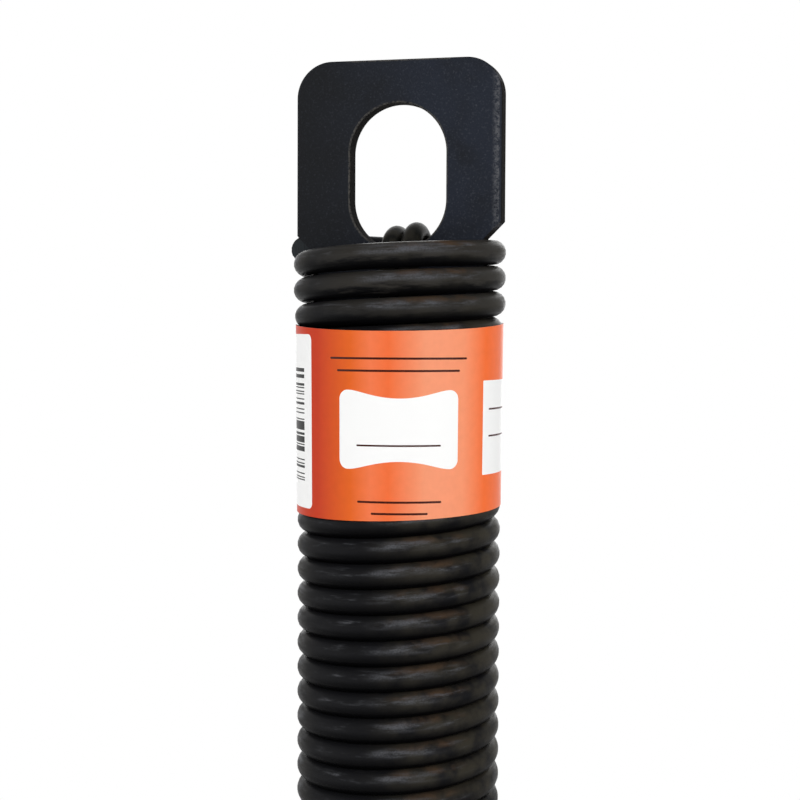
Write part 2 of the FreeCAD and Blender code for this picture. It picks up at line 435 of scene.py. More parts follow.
    def painted_highlight_mask(self, tree: NodeTree, across: Any, marks: Socket, grit: Socket) -> Socket:
        """The painted highlight: a grey band above the wire's outermost line, on chosen sides of the spring.

        Args:
            tree: the node tree.
            across: the straightened coordinates, apart.
            marks: the drawn-out rub marks.
            grit: the fine grain of the oxide.

        Returns:
            1 where the painted highlight is full.
        """
        sides = [
            soft_mask(tree, (self.towards(tree, side.azimuth), *side.reach), (marks, *side.marks))
            for side in self.highlight_sides
        ]
        band = self.band(
            tree,
            across["Z"],
            self.highlight_start,
            self.in_radii(across["Z"], self.highlight_end),
            self.in_radii(across["Y"], self.highlight_outside),
            (any_mask(tree, sides), 0.0, 1.0),
        )
        grain = add_node(
            tree,
            "MapRange",
            {"Value": grit, "From Min": 0.3, "From Max": 0.7, "To Min": 0.55, "To Max": 1.45},
        ).outputs["Result"]
        return add_node(tree, "Math", {0: band, 1: grain}, operation="MULTIPLY", use_clamp=True).outputs[0]

    def bloom_mask(self, tree: NodeTree, where: Socket, height: Socket) -> Socket:
        """Patches of olive-brown bloom, on the sides of the spring that lay open in store.

        Args:
            tree: the node tree.
            where: the straightened coordinates.
            height: how far up on the wire a point is.

        Returns:
            1 where the bloom is full.
        """
        patches = add_node(
            tree, "TexNoise", {"Vector": where, "Scale": per_mm(self.bloom_mm), "Detail": 5.0}
        ).outputs["Fac"]
        sides = [
            soft_mask(tree, (self.towards(tree, azimuth), *reach)) for azimuth, reach in self.open_sides
        ]
        open_air = any_mask(tree, sides)
        shown = (patches, *self.bloom_patches)
        return self.band(tree, height, self.bloom_start, shown, (open_air, 0.0, 1.0))

    def wear_and_light_mask(self, tree: NodeTree, drawn: Socket, height: Socket) -> Socket:
        """Turns rubbed brownish grey with a ragged lower border, where they were wound on the plugs, their
        upper front side lightened as painted light from above.

        Args:
            tree: the node tree.
            drawn: the straightened coordinates, drawn out along the wire.
            height: how far up on the wire a point is.

        Returns:
            1 where the turns are worn.
        """
        ragged = add_node(
            tree, "TexNoise", {"Vector": drawn, "Scale": 0.5, "Detail": 6.0, "Roughness": 0.65}
        ).outputs["Fac"]
        # The border wanders up and down the wire with the noise, which lies about a half
        wander = self.worn_ragged * self.wire_radius
        border = add_node(
            tree, "Math", {0: ragged, 1: wander, 2: height}, operation="MULTIPLY_ADD"
        ).outputs[0]
        level = add_node(tree, "Math", {0: border, 1: wander / 2}, operation="SUBTRACT").outputs[0]
        place = add_node(tree, "TexCoord").outputs["Object"]
        up = add_node(tree, "SeparateXYZ", {"Vector": place}).outputs["Z"]
        from_middle = add_node(tree, "Math", {0: up}, operation="ABSOLUTE").outputs[0]
        plug = (from_middle, self.plug_mm[0] * MM, self.plug_mm[1] * MM)
        side = (self.towards(tree, self.worn_side), *self.worn_reach)
        return self.band(tree, level, self.worn_start, plug, side)

    def stain_mask(self, tree: NodeTree, where: Socket, height: Socket) -> Socket:
        """Soft rusty stains on top of the wire, where water stood between the turns.

        Args:
            tree: the node tree.
            where: the straightened coordinates.
            height: how far up on the wire a point is.

        Returns:
            1 where the stain is full.
        """
        spots = add_node(
            tree,
            "TexNoise",
            {"Vector": where, "Scale": per_mm(self.stain_mm), "Detail": 3.0, "Roughness": 0.55},
        ).outputs["Fac"]
        side = (self.towards(tree, self.stained_side), *self.stained_reach)
        return self.band(tree, height, self.stain_start, (spots, *self.stain_spots), side)


@dataclass(frozen=True)
class ShearedSteel:
    """The face that a shear leaves on the wire's end: dark blue-grey, with drag lines across it."""

    name: str = "sheared_wire_end"
    steel: str = "1d2226"
    drag: str = "121518"
    line_mm: float = 0.35
    line_length_mm: float = 2.8
    lines: Step = (0.45, 0.7)

    def make(self) -> bpy.types.Material:
        """Builds the finish from Object coordinates.

        Returns:
            The material.
        """
        material, tree, shader = new_material(self.name)
        where = add_node(tree, "TexCoord").outputs["Object"]
        # The lines run upwards, so their pattern is drawn out that way
        stretch = (per_mm(self.line_mm), per_mm(self.line_mm), per_mm(self.line_length_mm))
        drawn = add_node(tree, "Mapping", {"Vector": where, "Scale": stretch}).outputs["Vector"]
        lines = add_node(tree, "TexNoise", {"Vector": drawn, "Scale": 1.0, "Detail": 3.0}).outputs["Fac"]
        colour = paint_over(tree, linear(self.steel), (soft_mask(tree, (lines, *self.lines)), self.drag))
        bump = add_node(
            tree, "Bump", {"Height": lines, "Strength": 0.3, "Distance": RELIEF}
        ).outputs["Normal"]
        fill(tree, shader, {"Base Color": colour, "Normal": bump})
        fill(tree, shader, {"Roughness": 0.45, "Specular IOR Level": 0.06})
        return material


@dataclass(frozen=True)
class BlackedPlate:
    """Hot-rolled plate with a thin blue-black coat: dull and speckled, with painted sheen towards +X and a
    painted highlight along the rounded edge there.
    """

    name: str = "blacked_hot_rolled_plate"
    coat: str = "191a1c"
    # Lighter blue of the coat's clouds, laid thicker towards +X as painted sheen
    cloud: str = "22262f"
    speck: str = "3a3d44"
    cut: str = "0b0a0a"
    torn: str = "1f1d1b"
    # Painted highlight of the rounded edge at +X, which catches the light from that side
    rubbed: str = "5a5b5f"
    rim: str = "4b4946"
    cloud_mm: float = 14.0
    speck_mm: float = 0.6
    tear_mm: float = 0.7
    half_width_mm: float = 30.55
    slot_half_mm: float = 14.3
    # The strip of painted highlight along the rounded edge at +X, in millimetres in from the edge
    edge_highlight_start: Step = (3.1, 1.3)
    edge_highlight_end: Step = (0.4, 0.9)
    # The worn rim of the slot, in millimetres out from the slot's side
    rim_reach: Step = (1.6, 0.8)
    # How square to the flat face a point is: on the face, and on the broken edge between it and a wall
    flat_facing: Step = (0.3, 0.8)
    rim_start: Step = (0.2, 0.5)
    rim_end: Step = (0.99, 0.9)
    # Which part of each noise shows
    wall_tears: Step = (0.4, 0.65)
    edge_highlight_tears: Step = (0.36, 0.68)
    rim_tears: Step = (0.34, 0.6)
    clouds: Step = (0.15, 0.6)
    specks: Step = (0.5, 0.85)
    # Where the clouds thicken as painted sheen, and where the specks thicken, in half widths across the
    # plate
    sheen_side: Step = (-1.2, 0.6)
    speck_side: Step = (-2.2, 1.0)
    wall_rough: float = 1.0
    face_rough: float = 0.55

    def make(self) -> bpy.types.Material:
        """Builds the finish from Object coordinates.

        Returns:
            The material.
        """
        material, tree, shader = new_material(self.name)
        places = add_node(tree, "TexCoord").outputs
        where = places["Object"]
        along = add_node(tree, "SeparateXYZ", {"Vector": where}).outputs["X"]
        specks = add_node(
            tree,
            "TexNoise",
            {"Vector": where, "Scale": per_mm(self.speck_mm), "Detail": 3.0, "Roughness": 0.6},
        ).outputs["Fac"]
        tears = add_node(
            tree,
            "TexNoise",
            {"Vector": where, "Scale": per_mm(self.tear_mm), "Detail": 4.0, "Roughness": 0.7},
        ).outputs["Fac"]
        # The flat faces are those that face along Y, and the cut walls don't
        facing = add_node(tree, "SeparateXYZ", {"Vector": places["Normal"]}).outputs["Y"]
        square = add_node(tree, "Math", {0: facing}, operation="ABSOLUTE").outputs[0]
        flat = soft_mask(tree, (square, *self.flat_facing))
        edge = self.half_width_mm
        # Painted highlight along the rounded edge at +X, broken by tears
        edge_highlight = soft_mask(
            tree,
            (along, (edge - self.edge_highlight_start[0]) * MM, (edge - self.edge_highlight_start[1]) * MM),
            (along, (edge - self.edge_highlight_end[0]) * MM, (edge - self.edge_highlight_end[1]) * MM),
            (tears, *self.edge_highlight_tears),
        )
        # Hooks wear the coat off the broken edge round each slot
        from_middle = add_node(tree, "Math", {0: along}, operation="ABSOLUTE").outputs[0]
        slot = self.slot_half_mm
        rim = soft_mask(
            tree,
            (square, *self.rim_start),
            (square, *self.rim_end),
            (from_middle, (slot + self.rim_reach[0]) * MM, (slot + self.rim_reach[1]) * MM),
            (tears, *self.rim_tears),
        )
        colour = paint_over(
            tree,
            linear(self.cut),
            (soft_mask(tree, (tears, *self.wall_tears)), self.torn),
            (flat, self.coat_face(tree, where, along, specks)),
            # Painted highlight along the rounded edge at +X
            (edge_highlight, self.rubbed),
            (rim, self.rim),
        )
        rough = add_node(
            tree, "MapRange", {"Value": flat, "To Min": self.wall_rough, "To Max": self.face_rough}
        ).outputs["Result"]
        bump = add_node(
            tree, "Bump", {"Height": specks, "Strength": 0.35, "Distance": RELIEF}
        ).outputs["Normal"]
        fill(tree, shader, {"Base Color": colour, "Roughness": rough, "Normal": bump})
        fill(tree, shader, {"Specular IOR Level": 0.06})
        return material

    def coat_face(self, tree: NodeTree, where: Socket, along: Socket, specks: Socket) -> Socket:
        """The coat on the flat faces: lighter blue clouds that thicken towards +X as painted sheen from that
        side, and more speckled there.

        Args:
            tree: the node tree.
            where: the Object coordinates.
            along: how far across the plate a point is.
            specks: the fine speckle.

        Returns:
            The coat's colour.
        """
        clouds = add_node(
            tree, "TexNoise", {"Vector": where, "Scale": per_mm(self.cloud_mm), "Detail": 5.0}
        ).outputs["Fac"]
        half = self.half_width_mm * MM
        sheen_step = (along, self.sheen_side[0] * half, self.sheen_side[1] * half)
        speck_side = (along, self.speck_side[0] * half, self.speck_side[1] * half)
        return paint_over(
            tree,
            linear(self.coat),
            # Lighter blue towards +X: painted sheen over the coat's clouds
            (soft_mask(tree, sheen_step, (clouds, *self.clouds)), self.cloud),
            (soft_mask(tree, (specks, *self.specks), speck_side), self.speck),
        )


@dataclass(frozen=True)
class SafetyWireScale:
    """Black-annealed safety wire: dull, with a thin olive-brown scale."""

    name: str = "black_annealed_safety_wire"
    scale: str = "0d0d0b"
    worn: str = "211f1a"
    blotch_mm: float = 3.0
    blotches: Step = (0.4, 0.65)
    grit_mm: float = 0.5

    def make(self) -> bpy.types.Material:
        """Builds the finish from Object coordinates.

        Returns:
            The material.
        """
        material, tree, shader = new_material(self.name)
        where = add_node(tree, "TexCoord").outputs["Object"]
        blotches = add_node(
            tree, "TexNoise", {"Vector": where, "Scale": per_mm(self.blotch_mm), "Detail": 4.0}
        ).outputs["Fac"]
        rubbed = soft_mask(tree, (blotches, *self.blotches))
        colour = paint_over(tree, linear(self.scale), (rubbed, self.worn))
        grit = add_node(
            tree, "TexNoise", {"Vector": where, "Scale": per_mm(self.grit_mm), "Detail": 2.0}
        ).outputs["Fac"]
        bump = add_node(
            tree, "Bump", {"Height": grit, "Strength": 0.25, "Distance": RELIEF}
        ).outputs["Normal"]
        fill(tree, shader, {"Base Color": colour, "Normal": bump})
        fill(tree, shader, {"Roughness": 0.42, "Specular IOR Level": 0.06})
        return material


@dataclass(frozen=True)
class LabelStock:
    """The label's bare back and rim: matt white paper with a faint grain of fibres."""

    name: str = "bare_label_stock"
    paper: str = "f6f6f3"
    fibre: str = "e6e5e0"
    fibre_mm: float = 0.5
    fibres: Step = (0.45, 0.7)

    def make(self) -> bpy.types.Material:
        """Builds the finish from Object coordinates.

        Returns:
            The material.
        """
        material, tree, shader = new_material(self.name)
        where = add_node(tree, "TexCoord").outputs["Object"]
        fibres = add_node(
            tree, "TexNoise", {"Vector": where, "Scale": per_mm(self.fibre_mm), "Detail": 4.0}
        ).outputs["Fac"]
        colour = paint_over(tree, linear(self.paper), (soft_mask(tree, (fibres, *self.fibres)), self.fibre))
        fill(tree, shader, {"Base Color": colour, "Roughness": 0.8})
        return material


@dataclass(frozen=True)
class PrintedField:
    """A field of the label, in millimetres from the middle of its front and down from its top."""

    middle: tuple[float, float]
    half: tuple[float, float]
    corner: float
    waist: float = 0.0


@dataclass(frozen=True)
class PrintedPaper:
    """Coated label paper printed in orange: satin, with bare white fields where the stock shows."""

    width_mm: float
    height_mm: float
    name: str = "printed_label_paper"
    stock: str = "fbfbfa"
    # A blended print: deep towards the left and plain orange at the back; the salmon right of the middle and
    # the lighter band left of it are painted sheen, added to the lamps' real sheen on the satin paper
    inks_and_sheen: tuple[tuple[float, str], ...] = (
        (-54.0, "f1703d"),
        (-48.0, "c43304"),
        (-26.0, "c43304"),
        (-14.0, "e3631c"),
        (-8.0, "f27b4e"),
        (-3.0, "f1703d"),
        (7.0, "f49871"),
        (19.0, "f7976f"),
        (28.0, "f77034"),
        (54.0, "f1703d"),
    )
    fields: tuple[PrintedField, ...] = (
        PrintedField((-0.15, 27.25), (17.35, 8.7), 2.6, 2.25),
        PrintedField((-40.0, 25.85), (11.0, 24.7), 1.8),
        PrintedField((45.0, 27.2), (18.0, 13.3), 0.3),
    )
    # Plain rules: two above and two below the middle field, one in it and two in the field at the right
    rules: tuple[PrintedField, ...] = (
        PrintedField((-0.3, 7.6), (20.4, 0.3), 0.3),
        PrintedField((-0.3, 11.0), (18.0, 0.3), 0.3),
        PrintedField((-0.15, 31.6), (12.0, 0.25), 0.25),
        PrintedField((0.1, 47.2), (12.0, 0.3), 0.3),
        PrintedField((0.1, 50.4), (8.0, 0.3), 0.3),
        PrintedField((45.0, 22.0), (15.0, 0.25), 0.25),
        PrintedField((45.0, 29.6), (15.0, 0.25), 0.25),
    )
    rule_ink: str = "3d140a"
    # A ladder of plain bars in the field at the left, and the share of its steps that stays bare
    bars: PrintedField = PrintedField((-40.0, 27.2), (6.6, 16.4), 0.05)
    bar_ink: str = "0c0c0c"
    bar_mm: float = 0.36
    bar_gaps: float = 0.46
    mottle_mm: float = 2.5
    fibre_mm: float = 0.3

    def make(self) -> bpy.types.Material:
        """Builds the finish from the label's own flat coordinates.

        Returns:
            The material.
        """
        material, tree, shader = new_material(self.name)
        flat = add_node(tree, "UVMap", uv_map=FLAT).outputs["UV"]
        # Millimetres along the sheet from its middle, and down from its top
        place = add_node(
            tree,
            "Mapping",
            {
                "Vector": flat,
                "Location": (-self.width_mm / 2, self.height_mm, 0),
                "Scale": (self.width_mm, -self.height_mm, 1),
            },
        ).outputs["Vector"]
        split = add_node(tree, "SeparateXYZ", {"Vector": place}).outputs
        colour = paint_over(
            tree,
            self.print_ink(tree, split["X"], place),
            *((self.mask(tree, place, split["X"], field), self.stock) for field in self.fields),
            *((self.mask(tree, place, split["X"], rule), self.rule_ink) for rule in self.rules),
            (self.bar_mask(tree, place, split), self.bar_ink),
        )
        fibres = add_node(
            tree, "TexNoise", {"Vector": place, "Scale": 1 / self.fibre_mm, "Detail": 2.0}
        ).outputs["Fac"]
        bump = add_node(
            tree, "Bump", {"Height": fibres, "Strength": 0.05, "Distance": RELIEF}
        ).outputs["Normal"]
        fill(tree, shader, {"Base Color": colour, "Normal": bump})
        fill(tree, shader, {"Roughness": 0.36, "Specular IOR Level": 0.1})
        return material

    def print_ink(self, tree: NodeTree, along: Socket, place: Socket) -> Socket:
        """Lays down the orange with its painted sheen: its depth runs along the sheet, with a faint mottle.

        Args:
            tree: the node tree.
            along: millimetres along the sheet from its middle.
            place: the same with millimetres down from its top.

        Returns:
            The ink's colour.
        """
        first, last = self.inks_and_sheen[0][0], self.inks_and_sheen[-1][0]
        share = add_node(
            tree, "MapRange", {"Value": along, "From Min": first, "From Max": last}
        ).outputs["Result"]
        ramp = add_node(tree, "ValToRGB", {"Fac": share})
        elements = ramp.color_ramp.elements
        while len(elements) < len(self.inks_and_sheen):
            elements.new(1.0)
        for element, (position, colour) in zip(elements, self.inks_and_sheen):
            element.position = (position - first) / (last - first)
            element.color = linear(colour)
        mottle = add_node(
            tree, "TexNoise", {"Vector": place, "Scale": 1 / self.mottle_mm, "Detail": 4.0}
        ).outputs["Fac"]
        value = add_node(
            tree,
            "MapRange",
            {"Value": mottle, "From Min": 0.3, "From Max": 0.7, "To Min": 0.97, "To Max": 1.02},
        ).outputs["Result"]
        return add_node(
            tree, "HueSaturation", {"Color": ramp.outputs["Color"], "Value": value}
        ).outputs["Color"]

    def mask(self, tree: NodeTree, place: Socket, along: Socket, field: PrintedField) -> Socket:
        """Draws one field with round corners, and with a waist if it has one.

        Args:
            tree: the node tree.
            place: millimetres along and down the sheet.
            along: the first of them alone.
            field: the field's size and place.

        Returns:
            1 inside the field and 0 outside it.
        """
        middle = (*field.middle, 0)
        core = (field.half[0] - field.corner, field.half[1] - field.corner, 0)
        offset = add_node(tree, "VectorMath", {0: place, 1: middle}, operation="SUBTRACT").outputs[0]
        mirrored = add_node(tree, "VectorMath", {0: offset}, operation="ABSOLUTE").outputs[0]
        over = add_node(tree, "VectorMath", {0: mirrored, 1: core}, operation="SUBTRACT").outputs[0]
        if field.waist:
            rise = self.ear_rise(tree, along, core[0], field.waist)
            drop = add_node(tree, "CombineXYZ", {"Y": rise}).outputs[0]
            over = add_node(tree, "VectorMath", {0: over, 1: drop}, operation="SUBTRACT").outputs[0]
        outside = add_node(tree, "VectorMath", {0: over, 1: (0, 0, 0)}, operation="MAXIMUM").outputs[0]
        flat_outside = add_node(
            tree, "VectorMath", {0: outside, 1: (1, 1, 0)}, operation="MULTIPLY"
        ).outputs[0]
        away = add_node(tree, "VectorMath", {0: flat_outside}, operation="LENGTH").outputs["Value"]
        return add_node(tree, "Math", {0: away, 1: field.corner}, operation="LESS_THAN").outputs[0]

    def ear_rise(self, tree: NodeTree, along: Socket, reach: float, waist: float) -> Socket:
        """Works out how far a waisted field's edge rises towards its ears.

        Args:
            tree: the node tree.
            along: millimetres along the sheet from its middle.
            reach: how far from the middle the ears are.
            waist: how much they stand above the middle.

        Returns:
            The rise, which grows with the square of the share and levels off at the ears.
        """
        share = add_node(tree, "Math", {0: along, 1: reach}, operation="DIVIDE").outputs[0]
        curve = add_node(tree, "Math", {0: share, 1: share}, operation="MULTIPLY").outputs[0]
        inside = add_node(tree, "Math", {0: curve, 1: 1.0}, operation="MINIMUM").outputs[0]
        level = add_node(tree, "Math", {0: inside, 1: inside}, operation="MULTIPLY").outputs[0]
        slope = add_node(
            tree, "Math", {0: level, 1: -0.5 * waist, 2: 1.5 * waist}, operation="MULTIPLY_ADD"
        ).outputs[0]
        return add_node(tree, "Math", {0: inside, 1: slope}, operation="MULTIPLY").outputs[0]

    def bar_mask(self, tree: NodeTree, place: Socket, split: Any) -> Socket:
        """Draws a ladder of plain bars of uneven width.

        Args:
            tree: the node tree.
            place: millimetres along and down the sheet.
            split: the same as separate sockets.

        Returns:
            1 on the bars.
        """
        row = add_node(tree, "Math", {0: split["Y"], 1: self.bar_mm}, operation="DIVIDE").outputs[0]
        step = add_node(tree, "Math", {0: row}, operation="FLOOR").outputs[0]
        chance = add_node(tree, "TexWhiteNoise", {"W": step}, noise_dimensions="1D").outputs["Value"]
        inked = add_node(tree, "Math", {0: chance, 1: self.bar_gaps}, operation="GREATER_THAN").outputs[0]
        inside = self.mask(tree, place, split["X"], self.bars)
        return add_node(tree, "Math", {0: inked, 1: inside}, operation="MULTIPLY").outputs[0]


@dataclass
class ExtensionCoil:
    """The one wire, close wound to the right, wider at each plug, with a sprung tail at each end."""

    wire_radius: float = 3.595 * MM
    main_radius: float = 26 * MM
    main_pitch: float = 7.215 * MM
    main_turns: float = 62.5
    opening_turns: float = 8
    taper_turns: float = 1.5
    seat_radius: float = 27.2 * MM
    seat_pitch: float = 7.458 * MM
    seat_turns: float = 2
    tail_angle: float = math.radians(130)
    tail_length: float = 22 * MM
    tail_drop: float = 1.2 * MM
    cut_slant: float = math.radians(28)
    # The slope of the leaning turns, and how many turns it takes to come in
    lean: Vector = 0.021 * ACROSS + 0.03 * AWAY
    lean_turns: float = 8
    end_bevel: float = 0.35 * MM
    # Points this close are joined
    weld: float = 0.003595 * MM
    steps_per_turn: int = 60
    sides: int = 18
    tail_steps: int = 8

    def __post_init__(self) -> None:
        """Works out where the stretches of the coil end, in turns from its middle."""
        self.main_half = self.main_turns / 2
        self.opening_end = self.main_half + self.opening_turns
        self.seat = self.opening_end + self.seat_turns
        self.end = self.seat + self.tail_angle / FULL_TURN

    def radius_at(self, turn: float) -> float:
        """Radius of the wire's centre line at a turn."""
        share = min(max(1 - (self.opening_end - abs(turn)) / self.taper_turns, 0), 1)
        return self.main_radius + share * (self.seat_radius - self.main_radius)

    def height_at(self, turn: float) -> float:
        """Works out the height of the wire's centre line.

        Args:
            turn: the turn, from the middle.

        Returns:
            The height, with a pitch that opens evenly towards each plug.
        """
        main = min(abs(turn), self.main_half)
        opening = min(max(abs(turn) - self.main_half, 0), self.opening_turns)
        seat = max(abs(turn) - self.opening_end, 0)
        growth = (self.seat_pitch - self.main_pitch) / self.opening_turns
        height = (main + opening) * self.main_pitch + growth * opening**2 / 2 + seat * self.seat_pitch
        return math.copysign(height, turn)

    def leaning(self, turn: float) -> float:
        """The share of the lean that a turn has: none in the plugs' grooves."""
        return min(max(self.seat - abs(turn), 0) / self.lean_turns, 1)

    def angle_at(self, turn: float) -> float:
        """Angle of a turn round the axis: the upper seat is at +X."""
        return FULL_TURN * (turn - self.seat)

    def wind(self, bm: bmesh.types.BMesh) -> None:
        """Winds the turns at an even radius and pitch: one turn is spun, and the rest are copies of it.

        Args:
            bm: an empty bmesh with a layer for each point's angle round the wire.
        """
        around = bm.verts.layers.float["around"]
        # From the lowest half turn, so that the copies end as far above the middle
        first = -math.floor(2 * self.end) / 2
        place = Matrix.Rotation(self.angle_at(first), 4, "Z")
        place @= Matrix.Translation((self.main_radius, 0, first * self.main_pitch))
        place @= Matrix.Rotation(math.radians(90), 4, "X")
        ring = bmesh.ops.create_circle(bm, segments=self.sides, radius=self.wire_radius, matrix=place)
        centre = place.translation
        outward = centre.xy.to_3d().normalized()
        for vertex in ring["verts"]:
            arm = vertex.co - centre
            vertex[around] = math.atan2(arm.z, arm.dot(outward))
        self.spin(bm, bm.edges[:], 1.0)
        one_turn = bm.verts[:] + bm.edges[:] + bm.faces[:]
        for copy in range(1, round(-2 * first)):
            made = bmesh.ops.duplicate(bm, geom=one_turn)["geom"]
            vertices = [item for item in made if isinstance(item, bmesh.types.BMVert)]
            bmesh.ops.translate(bm, verts=vertices, vec=UP * self.main_pitch * copy)
        bmesh.ops.remove_doubles(bm, verts=bm.verts, dist=self.weld)
        for side in (-1, 1):
            self.spin(bm, self.open_rim(bm, side), side * (self.end + first))

    def spin(self, bm: bmesh.types.BMesh, edges: list[bmesh.types.BMEdge], turns: float) -> None:
        """Spins a ring of edges along the coil at its even radius and pitch.

        Args:
            bm: the mesh.
            edges: the ring.
            turns: how far, and below zero for downwards.
        """
        steps = max(round(abs(turns) * self.steps_per_turn), 1)
        bmesh.ops.spin(
            bm,
            geom=edges,
            axis=UP,
            cent=(0, 0, 0),
            dvec=UP * self.main_pitch * turns / steps,
            angle=FULL_TURN * turns,
            steps=steps,
        )

    def open_rim(self, bm: bmesh.types.BMesh, side: int) -> list[bmesh.types.BMEdge]:
        """The open end of the wire above (1) or below (-1) the middle."""
        return [edge for edge in bm.edges if edge.is_boundary and edge.verts[0].co.z * side > 0]

    def turn_of(self, point: Vector) -> float:
        """The turn that a point of the evenly wound wire belongs to."""
        part = math.atan2(point.y, point.x) / FULL_TURN + self.seat
        return part + round(point.z / self.main_pitch - part)

    def build(self) -> bpy.types.Object:
        """Models the wire with its straightened coordinates.

        Returns:
            The coil, standing in for its CAD node.
        """
        bm = bmesh.new()
        around = bm.verts.layers.float.new("around")
        straight = bm.verts.layers.float_vector.new(STRAIGHT)
        self.wind(bm)
        for vertex in bm.verts:
            turn = self.turn_of(vertex.co)
            outward = vertex.co.xy.to_3d().normalized()
            vertex.co += outward * (self.radius_at(turn) - self.main_radius)
            vertex.co += UP * (self.height_at(turn) - turn * self.main_pitch)
            vertex.co += UP * vertex.co.dot(self.lean) * self.leaning(turn)
            run = turn * FULL_TURN * self.main_radius
            out, up = math.cos(vertex[around]), math.sin(vertex[around])
            vertex[straight] = (run, self.wire_radius * out, self.wire_radius * up)
        for side in (-1, 1):
            self.spring_tail(bm, side)
        # The sheared faces, which alone have so many corners, take the second material
        for face in bm.faces:
            face.material_index = 1 if len(face.verts) >= self.sides else 0
        bmesh.ops.recalc_face_normals(bm, faces=bm.faces)
        bm.verts.layers.float.remove(around)
        piece = finish_piece(bm, "coil_wire")
        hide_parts("extension_coil")
        return piece

    def spring_tail(self, bm: bmesh.types.BMesh, side: int) -> None:
        """Springs one end of the wire out along an arc and shears it off on a slant.

        Args:
            bm: the wound wire.
            side: 1 for the upper end and -1 for the lower one.
        """
        straight = bm.verts.layers.float_vector[STRAIGHT]
        angle = self.angle_at(self.end * side)
        forward = Vector((-math.sin(angle), math.cos(angle), 0)) * side
        climb = self.seat_pitch / (FULL_TURN * self.seat_radius)
        tangent = (forward + UP * side * climb).normalized()
        start = Vector((math.cos(angle), math.sin(angle), 0)) * self.radius_at(self.end)
        start += UP * self.height_at(self.end * side)
        chord = forward * self.tail_length - UP * side * self.tail_drop
        bend = chord - tangent * chord.dot(tangent)
        radius = chord.length_squared / (2 * bend.length)
        known = set(bm.verts)
        bmesh.ops.spin(
            bm,
            geom=self.open_rim(bm, side),
            cent=start + bend.normalized() * radius,
            axis=tangent.cross(bend).normalized(),
            angle=2 * math.atan2(bend.length, chord.dot(tangent)),
            steps=self.tail_steps,
        )
        tail = [vertex for vertex in bm.verts if vertex not in known]
        for vertex in tail:
            vertex[straight] += Vector((side * (vertex.co - start).dot(tangent), 0, 0))
        # The shear leaves the end on a slant that turns its face outwards
        cut_way = Matrix.Rotation(side * self.cut_slant, 3, "Z") @ forward
        reach = self.wire_radius * math.tan(self.cut_slant)
        near = {item for vertex in tail for item in (vertex, *vertex.link_edges, *vertex.link_faces)}
        bmesh.ops.bisect_plane(
            bm,
            geom=list(near),
            plane_co=start + chord - forward * reach,
            plane_no=cut_way,
            clear_outer=True,
        )
        cap = bmesh.ops.contextual_create(bm, geom=self.open_rim(bm, side))["faces"]
        bmesh.ops.bevel(
            bm,
            geom=list({edge for face in cap for edge in face.edges}),
            affect="EDGES",
            offset=self.end_bevel,
            offset_type="OFFSET",
            segments=2,
            profile=0.5,
            material=-1,
        )


